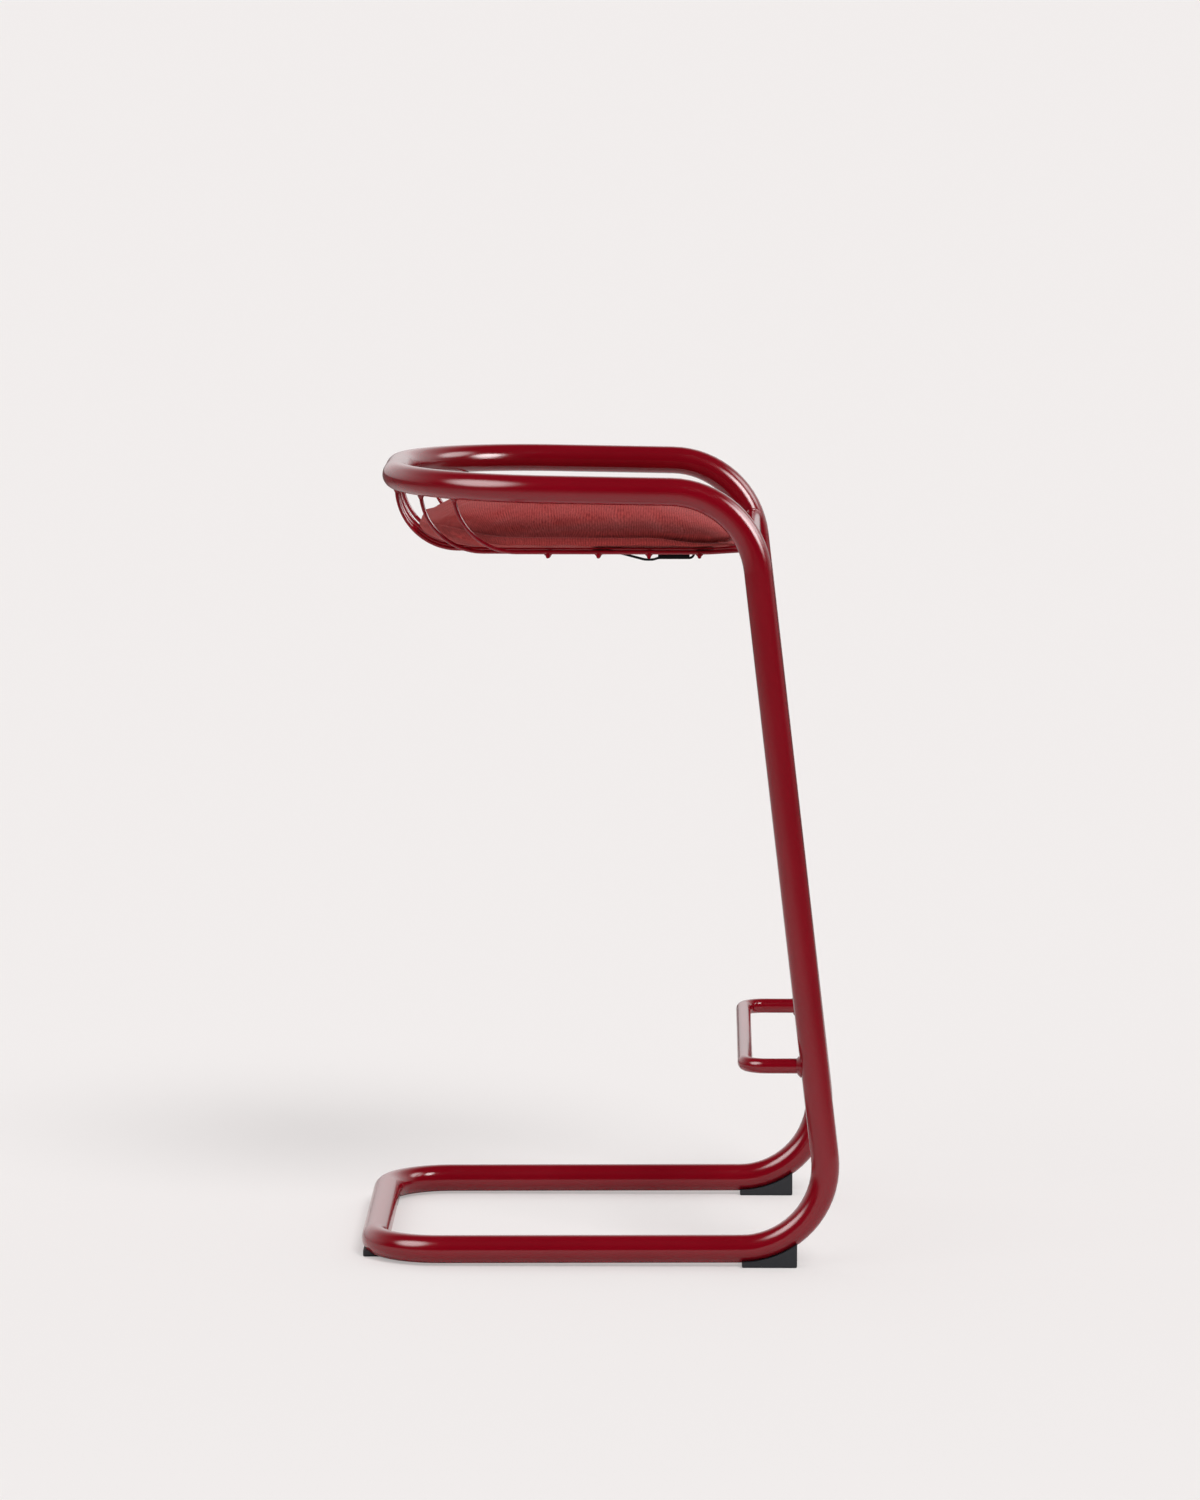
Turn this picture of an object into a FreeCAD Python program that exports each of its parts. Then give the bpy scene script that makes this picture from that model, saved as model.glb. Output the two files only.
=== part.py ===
import FreeCAD, Part
import math
import os

from FreeCAD import Vector

# Outdoor bar stool: a bent-tube sled frame, a dished wire seat, a footrest bar, four glides and a
# strapped seat pad. The sitter faces +X, Y runs across the seat and the floor is z = 0.

# Frame tube, in millimetres
tube_d = 28.0
tube_wall = 1.5
frame_width = 391.0            # between the two centre lines
base_rear_x = -225.6           # centre line of the crossbar on the floor
rail_rear_x = -206.0           # centre line of the back rail
rail_height = 778.5            # centre of the back rail at its rearmost point
rail_fall = 1.0                # degrees that the arms drop towards the front
base_rise = 0.25               # degrees that the runners climb towards the front
upright_foot_x = 238.0         # where the line of the uprights meets the floor
upright_lean = 6.64            # degrees from the vertical, towards the back
upper_bend_radius = 88.0       # at the front, to the centre line
lower_bend_radius = 84.0
base_corner_radius = 66.0
rail_corner_radius = 156.0

# Sleeves that join the two halves of the frame inside the tube
sleeve_length = 60.0
sleeve_wall = 2.0
sleeve_clearance = 0.2

# Footrest
footrest_d = 15.0
footrest_wall = 1.5
footrest_height = 200.7
footrest_reach = 69.0          # from the upright's centre line back to the bar's
footrest_inset = 6.0           # of each arm, from the upright's centre line towards the middle
footrest_bend = 22.0
weld_leg = 4.0                 # of the fillet weld round each arm

# Wire seat: wires from back to front, and cross wires below them
wire_d = 4.0
wire_bend = 62.0
wire_places = (18.0, 57.5, 128.5, 163.8)   # from the middle of the seat, on each side
seat_drop = 75.1               # from the back rail down to a wire in the middle of the seat
seat_dish = 7.4                # how much higher the outermost wires lie
wire_front_rise = 3.0          # by which a wire climbs to the front bar
wire_rise_length = 46.0
wire_rise_bend = 150.0
cross_pitch = 50.0
cross_count = 4
cross_setback = 55.3           # from the front bar back to the last cross wire
cross_overhang = 4.0           # of a cross wire past the outermost wire
weld_gap = 0.1
front_bar_d = 15.0
front_bar_wall = 1.5

# Glides under the base
front_glide_length = 55.0
front_glide_width = 28.0
front_glide_lip = 2.5          # height of the saddle's sides on the tube
front_glide_start = 1.0        # of a front glide, past the start of the bend
rear_glide_length = 40.0
rear_glide_width = 23.0
rear_glide_lip = 5.0
rear_glide_past = 27.0         # of a rear glide's outer end, past the start of the corner
glide_floor = 1.5              # plastic under the crossbar
glide_edge = 2.0               # rounding of the edges at the floor
peg_d = 6.0
peg_length = 5.0
peg_clearance = 0.1
saddle_clearance = 0.1         # between a saddle and its tube

# Seat pad
pad_gap = 0.9                  # between the pad and the wires
pad_rear_clear = 20.3          # from the back rail's centre line
pad_front_clear = 14.3         # from the front bar's centre line
pad_width = 343.0
pad_rear_flat = 72.0           # straight run at the back, between the round corners
pad_front_corner = 34.0
pad_tuck = 22.0                # width of the sloping underside next to the hem
hem_height = 12.0              # of the hem's lower edge above the middle of the underside
hem_band = 7.0
hem_over_wires = 3.0           # of the hem where the wires climb at the back
crease_in = 2.5                # by which the cover is drawn in above the hem
crease_up = 1.8
pad_crown = 33.0               # of the middle above the crease
shoulder_share = 0.62          # of the crown's height at which the side turns into the top
shoulder_in = 0.15             # of the half width, from the hem to that turn
side_bulge = 4.0
cover_cloth = 1.5
pad_sections = 17
pad_end_angle = 78.0           # degrees, of the first and last section on a half circle

# Straps that hold the pad to a cross wire
strap_width = 25.0
strap_thickness = 2.0
strap_edge = 12.0              # of the pad, outside a strap
strap_tab = 18.0               # length sewn to the underside of the pad, at each end
strap_slack_run = 34.0         # sloping run from the rear tab to the cross wire
strap_bend = 2.5

tube_r = tube_d / 2
wire_r = wire_d / 2
half_width = frame_width / 2
base_height = tube_r + glide_floor
seat_low = rail_height - seat_drop
dish_half = wire_places[-1]
dish_radius = (dish_half ** 2 + seat_dish ** 2) / (2 * seat_dish)
dish_axis_z = seat_low + dish_radius
lean_slope = math.tan(math.radians(upright_lean))
rise_slope = math.tan(math.radians(base_rise))
fall_slope = math.tan(math.radians(rail_fall))
bar_end_z = dish_axis_z - math.sqrt((dish_radius - wire_front_rise) ** 2 - half_width ** 2)
front_bar_x = upright_foot_x - lean_slope * bar_end_z
cross_drop = wire_d + weld_gap
cross_last_x = front_bar_x - cross_setback
cross_first_x = cross_last_x - cross_pitch * (cross_count - 1)
pad_rear_x = rail_rear_x + pad_rear_clear
pad_front_x = front_bar_x - pad_front_clear
rear_glide_y = half_width - base_corner_radius + rear_glide_past
rear_peg_y = half_width - base_corner_radius - peg_d


def rounded_path(points, radii):
    """Wire of straight runs with a tangent arc of the given radius at each inner point."""
    edges = []
    start = points[0]
    for before, corner, after, radius in zip(points, points[1:], points[2:], radii):
        back = (before - corner).normalize()
        ahead = (after - corner).normalize()
        half_angle = back.getAngle(ahead) / 2
        tangent = radius / math.tan(half_angle)
        middle = (back + ahead).normalize() * (radius / math.sin(half_angle) - radius)
        arc_start = corner + back * tangent
        arc_end = corner + ahead * tangent
        edges.append(Part.LineSegment(start, arc_start).toShape())
        edges.append(Part.Arc(arc_start, corner + middle, arc_end).toShape())
        start = arc_end
    edges.append(Part.LineSegment(start, points[-1]).toShape())
    return Part.Wire(edges)


def rod(path, diameter):
    """Round solid of one diameter along a path."""
    first = path.OrderedEdges[0]
    start = first.valueAt(first.FirstParameter)
    heading = first.tangentAt(first.FirstParameter)
    disc = Part.Face(Part.Wire([Part.makeCircle(diameter / 2, start, heading)]))
    return path.makePipe(disc)


def hollow(path, diameter, wall):
    """Tube of one diameter and wall along a path, open at both ends."""
    return rod(path, diameter).cut(rod(path, diameter - 2 * wall))


def runner_z(x):
    """Height of a runner's centre line."""
    return base_height + rise_slope * (x - base_rear_x)


def rail_z(x):
    """Height of an arm's centre line."""
    return rail_height - fall_slope * (x - rail_rear_x)


def upright_x(z):
    """Place of an upright's centre line at a height."""
    return upright_foot_x - lean_slope * z


def lower_corner():
    """Point where a runner's line meets the upright's."""
    x = (upright_foot_x - lean_slope * runner_z(0.0)) / (1 + lean_slope * rise_slope)
    return Vector(x, 0, runner_z(x))


def upper_corner():
    """Point where the upright's line meets an arm's."""
    x = (upright_foot_x - lean_slope * rail_z(0.0)) / (1 - lean_slope * fall_slope)
    return Vector(x, 0, rail_z(x))


def frame_path(side):
    """Centre line of one half of the frame, from the crossbar round to the back rail."""
    across = Vector(0, side * half_width, 0)
    points = [
        Vector(base_rear_x, 0, base_height),
        Vector(base_rear_x, 0, base_height) + across,
        lower_corner() + across,
        upper_corner() + across,
        Vector(rail_rear_x, 0, rail_height) + across,
        Vector(rail_rear_x, 0, rail_height),
    ]
    radii = [base_corner_radius, lower_bend_radius, upper_bend_radius, rail_corner_radius]
    return rounded_path(points, radii)


def frame_envelope(side, clearance=0.0):
    """Outer form of one half of the frame, which everything that meets it is coped to."""
    return rod(frame_path(side), tube_d + 2 * clearance)


def front_glide_x():
    """Rear end of a front glide."""
    return lower_bend_centre().x + front_glide_start


def peg(place, diameter):
    """Upright peg that stands in the hole in the tube's underside."""
    foot = Vector(place.x, place.y, glide_floor / 2)
    height = place.z - tube_r + tube_wall + peg_length - foot.z
    return Part.makeCylinder(diameter / 2, height, foot)


def peg_places(side):
    """Centre-line points over the pegs of the front and the rear glide of one side."""
    front = front_glide_x() + front_glide_length / 4
    bend_centre = lower_bend_centre()
    reach = front - bend_centre.x
    front_z = bend_centre.z - math.sqrt(lower_bend_radius ** 2 - reach ** 2)
    return (
        Vector(front, side * half_width, front_z),
        Vector(base_rear_x, side * rear_peg_y, base_height),
    )


def lower_bend_centre():
    """Centre of the bend between runner and upright."""
    turn = math.pi / 2 + math.radians(upright_lean - base_rise)
    tangent = lower_bend_radius * math.tan(turn / 2)
    corner = lower_corner()
    angle = math.radians(base_rise)
    along = Vector(math.cos(angle), 0, math.sin(angle))
    above = Vector(-math.sin(angle), 0, math.cos(angle))
    return corner - along * tangent + above * lower_bend_radius


def frame_half(side):
    """One bent tube of the frame, with the holes for its glides' pegs."""
    tube = hollow(frame_path(side), tube_d, tube_wall)
    for place in peg_places(side):
        tube = tube.cut(peg(place, peg_d + 2 * peg_clearance))
    return tube


def joint_sleeve(x, z):
    """Inner tube that joins the two halves of the frame at the middle."""
    outer_d = tube_d - 2 * tube_wall - 2 * sleeve_clearance
    ends = [Vector(x, y, z) for y in (-sleeve_length / 2, sleeve_length / 2)]
    return hollow(Part.Wire([Part.LineSegment(*ends).toShape()]), outer_d, sleeve_wall)


def footrest_arm_y():
    """Distance of a footrest arm from the middle."""
    return half_width - footrest_inset


def footrest(envelopes):
    """Bent footrest tube, coped to both uprights."""
    back = upright_x(footrest_height)
    bar = back - footrest_reach
    corners = ((back, -1), (bar, -1), (bar, 1), (back, 1))
    points = [Vector(x, side * footrest_arm_y(), footrest_height) for x, side in corners]
    return hollow(rounded_path(points, [footrest_bend] * 2), footrest_d, footrest_wall).cut(envelopes)


def footrest_weld(side, envelopes):
    """Fillet weld round the end of one footrest arm."""
    centre = Vector(upright_x(footrest_height), side * footrest_arm_y(), footrest_height)
    arm_r = footrest_d / 2
    length = tube_r + weld_leg
    cone = Part.makeCone(arm_r + length, arm_r, length, centre, Vector(-1, 0, 0))
    lean = Vector(-lean_slope, 0, 1).normalize()
    upright = Vector(centre.x, side * half_width, footrest_height)
    collar = Part.makeCylinder(tube_r + weld_leg, 4 * length, upright - lean * 2 * length, lean)
    arm = Part.makeCylinder(arm_r, 2 * length, centre, Vector(-1, 0, 0))
    reach = Part.makeCylinder(arm_r + weld_leg, 2 * length, centre, Vector(-1, 0, 0))
    return cone.common(collar).common(reach).cut(arm).cut(envelopes)


def dish_z(y, lift=0.0):
    """Height of the dished seat at a distance from the middle, lifted square to the dish."""
    return dish_axis_z - math.sqrt((dish_radius - lift) ** 2 - y ** 2)


def dish_arc(x, reach, lift):
    """Arc across the seat, concentric with the dish."""
    points = [Vector(x, y, dish_z(y, lift)) for y in (-reach, 0.0, reach)]
    return Part.Wire([Part.Arc(*points).toShape()])


def front_bar_envelope():
    """Outer form of the bar across the front of the seat."""
    return rod(dish_arc(front_bar_x, half_width, wire_front_rise), front_bar_d)


def front_bar(envelopes):
    """Bar between the uprights that carries the front ends of the wires."""
    path = dish_arc(front_bar_x, half_width, wire_front_rise)
    return hollow(path, front_bar_d, front_bar_wall).cut(envelopes)


def rail_plan_x(y):
    """Place of the back rail's centre line at a distance from the middle."""
    past_straight = max(0.0, abs(y) - (half_width - rail_corner_radius))
    return rail_rear_x + rail_corner_radius - math.sqrt(rail_corner_radius ** 2 - past_straight ** 2)


def seat_wire(y, envelopes):
    """Wire from the underside of the back rail, down and along the seat to the front bar."""
    top_x = rail_plan_x(y)
    low = dish_z(y)
    points = [
        Vector(top_x, y, rail_z(top_x)),
        Vector(top_x, y, low),
        Vector(front_bar_x - wire_rise_length, y, low),
        Vector(front_bar_x, y, low + wire_front_rise),
    ]
    return rod(rounded_path(points, [wire_bend, wire_rise_bend]), wire_d).cut(envelopes)


def cross_wire(x):
    """Wire across the seat, welded below the wires that run from back to front."""
    return rod(dish_arc(x, dish_half + cross_overhang, -cross_drop), wire_d)


def saddle_block(outline, width, depth_axis):
    """Glide body from its side outline, as wide as given, with rounded edges at the floor."""
    face = Part.Face(Part.Wire(outline))
    block = face.extrude(depth_axis * width)
    floor_edges = [edge for edge in block.Edges if edge.BoundBox.ZMax < 0.01]
    return block.makeFillet(glide_edge, floor_edges)


def front_glide(side):
    """Glide under the lower front bend, whose top follows the bend."""
    centre = lower_bend_centre()
    lip_r = lower_bend_radius + tube_r - front_glide_lip
    near_y = side * half_width - front_glide_width / 2
    stations = [front_glide_x() + front_glide_length * part for part in (0.0, 0.5, 1.0)]
    tops = [Vector(x, near_y, centre.z - math.sqrt(lip_r ** 2 - (x - centre.x) ** 2)) for x in stations]
    rear_foot = Vector(stations[0], near_y, 0)
    front_foot = Vector(stations[-1], near_y, 0)
    outline = [
        Part.LineSegment(rear_foot, front_foot).toShape(),
        Part.LineSegment(front_foot, tops[-1]).toShape(),
        Part.Arc(*reversed(tops)).toShape(),
        Part.LineSegment(tops[0], rear_foot).toShape(),
    ]
    block = saddle_block(outline, front_glide_width, Vector(0, 1, 0))
    return block.cut(frame_envelope(side, saddle_clearance)).fuse(peg(peg_places(side)[0], peg_d))


def rear_glide(side):
    """Glide under one end of the crossbar, square where the tube turns away above it."""
    left = base_rear_x - rear_glide_width / 2
    outer_y = side * rear_glide_y
    top = glide_floor + rear_glide_lip
    corners = [Vector(left + dx, outer_y, z) for dx, z in
               ((0, 0), (rear_glide_width, 0), (rear_glide_width, top), (0, top), (0, 0))]
    outline = [Part.LineSegment(a, b).toShape() for a, b in zip(corners, corners[1:])]
    block = saddle_block(outline, rear_glide_length, Vector(0, -side, 0))
    return block.cut(frame_envelope(side, saddle_clearance)).fuse(peg(peg_places(side)[1], peg_d))


def pad_half_width(x):
    """Half width of the pad's D-shaped plan at a place along it."""
    half = pad_width / 2
    rear_corner = half - pad_rear_flat / 2
    before_sides = max(0.0, pad_rear_x + rear_corner - x)
    after_sides = max(0.0, x - pad_front_x + pad_front_corner)
    rear_loss = rear_corner - math.sqrt(rear_corner ** 2 - before_sides ** 2)
    front_loss = pad_front_corner - math.sqrt(pad_front_corner ** 2 - after_sides ** 2)
    return half - rear_loss - front_loss


def wire_climb(x, y):
    """Height by which a wire at y has climbed, at the back of the seat and at its front."""
    radius = wire_bend - wire_r - pad_gap
    into_bend = max(0.0, rail_plan_x(y) + wire_bend - x)
    up_front = max(0.0, wire_front_rise * (1 - (front_bar_x - x) / wire_rise_length))
    return radius - math.sqrt(radius ** 2 - into_bend ** 2) + up_front


def pad_section(angle, inset):
    """Section across the pad: dished underside, hem, drawn-in crease, bulging side and crown."""
    middle_x = (pad_rear_x + pad_front_x) / 2
    half_length = (pad_front_x - pad_rear_x) / 2
    station = middle_x + half_length * math.sin(angle)
    fullness = math.cos(angle)
    x = middle_x + (half_length - inset) * math.sin(angle)
    half = pad_half_width(station) - inset
    lift = wire_r + pad_gap
    climb = wire_climb(station, 0.0)
    under_y = half * (1 - pad_tuck / (pad_width / 2))
    hem_y = min(pad_half_width(station), dish_half)
    hem_base = dish_z(0.0, lift) + hem_height
    hem_low = max(hem_base, dish_z(hem_y, lift) + wire_climb(station, hem_y) + hem_over_wires)
    hem_high = hem_low + hem_band * (1 + fullness) / 2
    crease_z = hem_high + crease_up * fullness
    middle_low = max(hem_base, dish_z(0.0, lift) + climb + hem_over_wires)
    top = middle_low + crease_z - hem_low + crease_up + pad_crown * fullness - inset
    shoulder_z = crease_z + (top - crease_z) * shoulder_share
    crease_y = half - crease_in * fullness
    shoulder_y = half * (1 - shoulder_in * (1 + 2 * fullness) / 3)
    bulge_y = (crease_y + shoulder_y) / 2 + side_bulge * (1 + 3 * fullness) / 4

    def across(points):
        return [Vector(x, y, z) for y, z in points]

    half_line = across([
        (under_y, dish_z(under_y, lift) + wire_climb(station, under_y) + inset),
        (half, hem_low + inset / 2),
        (half, hem_high - inset / 2),
        (crease_y, crease_z),
        (bulge_y, (crease_z + shoulder_z) / 2),
        (shoulder_y, shoulder_z),
    ])
    other_line = [Vector(point.x, -point.y, point.z) for point in half_line]
    under, top_point = across([(0.0, dish_z(0.0, lift) + climb + inset), (0.0, top)])
    curves = [Part.Arc(other_line[0], under, half_line[0])]
    curves += [Part.LineSegment(a, b) for a, b in zip(half_line[:3], half_line[1:4])]
    curves += [Part.Arc(*half_line[3:]), Part.Arc(half_line[-1], top_point, other_line[-1])]
    other_line.reverse()
    curves += [Part.Arc(*other_line[:3])]
    curves += [Part.LineSegment(a, b) for a, b in zip(other_line[2:5], other_line[3:])]
    return Part.Wire([curve.toShape() for curve in curves])


def pad_form(inset):
    """Crowned pad through sections that lie closer together towards its two ends."""
    step = 2 * pad_end_angle / (pad_sections - 1)
    angles = [math.radians(-pad_end_angle + step * number) for number in range(pad_sections)]
    return Part.makeLoft([pad_section(angle, inset) for angle in angles], True, False)


def pad_cover(filling):
    """Sewn cover, closed all round the filling."""
    inner = filling.Shells[0].reversed()
    return Part.makeSolid(Part.Compound([pad_form(0.0).Shells[0], inner]))


def strap(side):
    """Webbing strap, sewn to the pad at both ends and led under the last cross wire but one."""
    top = dish_z(0.0, wire_r + pad_gap - weld_gap)
    low = dish_z(0.0, -cross_drop - wire_r - weld_gap)
    under_x = cross_last_x - cross_pitch - wire_d
    turn_x = cross_last_x - wire_r - wire_d - strap_thickness
    line = [
        Vector(under_x - strap_slack_run - strap_tab, 0, top),
        Vector(under_x - strap_slack_run, 0, top),
        Vector(under_x, 0, low),
        Vector(turn_x, 0, low),
        Vector(turn_x + wire_d, 0, top),
        Vector(turn_x + wire_d + strap_tab, 0, top),
    ]
    side_line = rounded_path(line, [strap_bend] * 4)
    face = side_line.makeOffset2D(-strap_thickness, 0, True, True)
    face.translate(Vector(0, -strap_width / 2, 0))
    band = face.extrude(Vector(0, strap_width, 0))
    midways = [(inner + outer) / 2 for inner, outer in zip(wire_places, wire_places[1:])]
    reach = pad_width / 2 - strap_edge - strap_width / 2
    place_y = max(y for y in midways if y <= reach)
    turn = math.degrees(math.asin(place_y / dish_radius))
    band.rotate(Vector(0, 0, dish_axis_z), Vector(1, 0, 0), side * turn)
    return band


def build():
    """All the pieces of the stool by name."""
    sides = {"right": -1, "left": 1}
    uprights = [frame_envelope(side) for side in sides.values()]
    weld_faces = uprights + [front_bar_envelope()]
    nodes = {}
    for name, side in sides.items():
        nodes["frame_tube_" + name] = frame_half(side)
        nodes["front_glide_" + name] = front_glide(side)
        nodes["rear_glide_" + name] = rear_glide(side)
        nodes["footrest_weld_" + name] = footrest_weld(side, uprights)
        nodes["pad_strap_" + name] = strap(side)
        for number, place in enumerate(wire_places, start=1):
            nodes["seat_wire_%s_%d" % (name, number)] = seat_wire(side * place, weld_faces)
    for number in range(cross_count):
        nodes["cross_wire_%d" % (number + 1)] = cross_wire(cross_first_x + number * cross_pitch)
    nodes["base_sleeve"] = joint_sleeve(base_rear_x, base_height)
    nodes["back_rail_sleeve"] = joint_sleeve(rail_rear_x, rail_height)
    nodes["footrest_tube"] = footrest(uprights)
    nodes["front_seat_bar"] = front_bar(uprights)
    filling = pad_form(cover_cloth)
    nodes["pad_filling"] = filling
    nodes["pad_cover"] = pad_cover(filling)
    return nodes


os.makedirs("parts", exist_ok=True)
for node, shape in build().items():
    shape.exportStep("parts/%s.step" % node)
    print("%-20s %d solid(s), %.1f cm3" % (node, len(shape.Solids), shape.Volume / 1000))
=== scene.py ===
"""Looks of an outdoor bar stool: a wine-red bent-tube frame, a dished wire seat and a strapped fabric pad."""

import logging
import math
from dataclasses import dataclass
from enum import Enum

import bmesh
import bpy
from bmesh.types import BMEdge, BMesh, BMVert
from bpy.types import Material, Mesh, Node, NodeSocket, NodeTree, Object, Scene
from mathutils import Matrix, Vector
from mathutils.bvhtree import BVHTree


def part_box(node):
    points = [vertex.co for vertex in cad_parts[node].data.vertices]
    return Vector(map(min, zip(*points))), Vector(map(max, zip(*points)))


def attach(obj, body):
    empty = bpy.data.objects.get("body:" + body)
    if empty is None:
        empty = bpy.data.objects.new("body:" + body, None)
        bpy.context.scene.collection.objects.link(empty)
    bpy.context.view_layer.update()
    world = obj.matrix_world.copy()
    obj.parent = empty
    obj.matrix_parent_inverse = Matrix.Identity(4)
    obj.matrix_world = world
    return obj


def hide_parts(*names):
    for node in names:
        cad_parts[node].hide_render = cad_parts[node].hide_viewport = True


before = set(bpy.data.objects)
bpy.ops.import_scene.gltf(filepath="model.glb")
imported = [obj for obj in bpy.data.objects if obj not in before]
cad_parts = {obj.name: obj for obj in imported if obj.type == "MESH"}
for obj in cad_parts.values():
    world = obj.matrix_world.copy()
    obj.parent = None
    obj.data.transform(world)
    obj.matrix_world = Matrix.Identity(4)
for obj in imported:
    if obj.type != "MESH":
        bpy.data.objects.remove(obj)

LOG = logging.getLogger("bar_stool")
MM = 0.001
BODY = "root"
SIDES = {"right": -1, "left": 1}
STOOL_MIDDLE = Vector((0, 0, 0.4))
SEAT_FRONT = Vector((0.1, 0.05, 0.76))
PANEL_MIDDLE = (0.5, 0.5, 0.0)   # in the coordinates of an area lamp
SMOOTHING = 0.5                  # share of the way to its neighbours that a vertex moves in one round


class Slot(Enum):
    """Names of material slots of the record, which no piece in this script takes its finish from."""

    PAINT = "frame_paint"
    FABRIC = "pad_fabric"
    WEBBING = "strap_webbing"


def linear(hex_colour: str) -> tuple[float, float, float, float]:
    """Turns an sRGB hex colour into linear light.

    Args:
        hex_colour: Six hex digits, with or without a leading hash.

    Returns:
        Red, green, blue and an alpha of 1.
    """
    digits = hex_colour.lstrip("#")
    shares = [int(digits[place:place + 2], 16) / 255 for place in (0, 2, 4)]
    red, green, blue = [s / 12.92 if s <= 0.04045 else ((s + 0.055) / 1.055) ** 2.4 for s in shares]
    return red, green, blue, 1.0


def add_node(tree: NodeTree, kind: str, inputs: dict | None = None, **settings) -> Node:
    """Adds a node, sets it up and links it.

    Args:
        tree: Node tree that gets the node.
        kind: Type name of the node.
        inputs: Socket name or number to a value, or to the output socket that feeds it.
        **settings: Properties of the node itself.

    Returns:
        The new node.
    """
    node = tree.nodes.new(kind)
    for name, value in settings.items():
        setattr(node, name, value)
    for socket, value in (inputs or {}).items():
        if isinstance(value, NodeSocket):
            tree.links.new(value, node.inputs[socket])
        else:
            node.inputs[socket].default_value = value
    return node


def new_material(name: str) -> tuple[Material, NodeTree, NodeSocket]:
    """Starts a node material.

    Args:
        name: Name of the material.

    Returns:
        The material, its empty node tree, and the surface socket of its output.
    """
    material = bpy.data.materials.new(name)
    material.use_nodes = True
    tree = material.node_tree
    tree.nodes.clear()
    surface = add_node(tree, "ShaderNodeOutputMaterial").inputs["Surface"]
    return material, tree, surface


def band_scale(pitch: float) -> float:
    """Scale of a wave texture, whose bands repeat every pi / 10 at scale 1, for a pitch in metres."""
    return math.pi / (10 * pitch)


@dataclass(frozen=True)
class PowderCoat:
    """Satin wine-red powder coat, sprayed on steel and baked, which leaves a faint orange peel."""

    name: str = "powder_coated_steel"
    deep: str = "#7B0313"
    bright: str = "#870518"
    cloud: float = 70 * MM
    peel: float = 2.2 * MM
    peel_depth: float = 0.1 * MM
    peel_strength: float = 0.08
    roughness: tuple[float, float] = (0.12, 0.17)
    ior: float = 1.5

    def material(self) -> Material:
        """Makes the material: slow colour drift, uneven gloss and a low bump of orange peel.

        Returns:
            The material.
        """
        material, tree, surface = new_material(self.name)
        place = add_node(tree, "ShaderNodeTexCoord").outputs["Object"]
        drift = add_node(tree, "ShaderNodeTexNoise", {"Vector": place, "Scale": 1 / self.cloud})
        colour = add_node(tree, "ShaderNodeMix", {
            0: drift.outputs["Fac"], 6: linear(self.deep), 7: linear(self.bright)}, data_type="RGBA")
        gloss = add_node(tree, "ShaderNodeMapRange", {
            "Value": drift.outputs["Fac"], "To Min": self.roughness[0], "To Max": self.roughness[1]})
        peel = add_node(tree, "ShaderNodeTexNoise", {"Vector": place, "Scale": 1 / self.peel})
        bump = add_node(tree, "ShaderNodeBump", {
            "Height": peel.outputs["Fac"], "Strength": self.peel_strength, "Distance": self.peel_depth})
        paint = add_node(tree, "ShaderNodeBsdfPrincipled", {
            "Base Color": colour.outputs[2], "Roughness": gloss.outputs[0], "IOR": self.ior,
            "Normal": bump.outputs["Normal"]})
        tree.links.new(paint.outputs[0], surface)
        return material


@dataclass(frozen=True)
class BareSteel:
    """Drawn steel tube, uncoated, with fine lines along it."""

    name: str = "drawn_steel_tube"
    colour: str = "#A5A6A8"
    line: float = 0.6 * MM
    stretch: tuple[float, float, float] = (1.0, 0.05, 1.0)   # draws the lines out along Y
    roughness: tuple[float, float] = (0.25, 0.45)

    def material(self) -> Material:
        """Makes the material: a metal with drawing lines along Y.

        Returns:
            The material.
        """
        material, tree, surface = new_material(self.name)
        place = add_node(tree, "ShaderNodeTexCoord").outputs["Object"]
        along = add_node(tree, "ShaderNodeMapping", {"Vector": place, "Scale": self.stretch})
        lines = add_node(tree, "ShaderNodeTexNoise", {"Vector": along.outputs[0], "Scale": 1 / self.line})
        gloss = add_node(tree, "ShaderNodeMapRange", {
            "Value": lines.outputs["Fac"], "To Min": self.roughness[0], "To Max": self.roughness[1]})
        steel = add_node(tree, "ShaderNodeBsdfPrincipled", {
            "Base Color": linear(self.colour), "Metallic": 1.0, "Roughness": gloss.outputs[0]})
        tree.links.new(steel.outputs[0], surface)
        return material


@dataclass(frozen=True)
class MouldedPlastic:
    """Black injection-moulded plastic with a spark-eroded grain, which scatters its highlights."""

    name: str = "moulded_black_plastic"
    dark: str = "#1D1F23"
    pale: str = "#2A2C31"
    grain: float = 1.1 * MM
    grain_depth: float = 0.15 * MM
    grain_strength: float = 0.35
    grain_detail: float = 3.0
    roughness: float = 0.55
    ior: float = 1.46

    def material(self) -> Material:
        """Makes the material: grained, with slightly greyer high spots.

        Returns:
            The material.
        """
        material, tree, surface = new_material(self.name)
        place = add_node(tree, "ShaderNodeTexCoord").outputs["Object"]
        grain = add_node(tree, "ShaderNodeTexNoise", {
            "Vector": place, "Scale": 1 / self.grain, "Detail": self.grain_detail})
        colour = add_node(tree, "ShaderNodeMix", {
            0: grain.outputs["Fac"], 6: linear(self.dark), 7: linear(self.pale)}, data_type="RGBA")
        bump = add_node(tree, "ShaderNodeBump", {
            "Height": grain.outputs["Fac"], "Strength": self.grain_strength, "Distance": self.grain_depth})
        plastic = add_node(tree, "ShaderNodeBsdfPrincipled", {
            "Base Color": colour.outputs[2], "Roughness": self.roughness, "IOR": self.ior,
            "Normal": bump.outputs["Normal"]})
        tree.links.new(plastic.outputs[0], surface)
        return material


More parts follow.
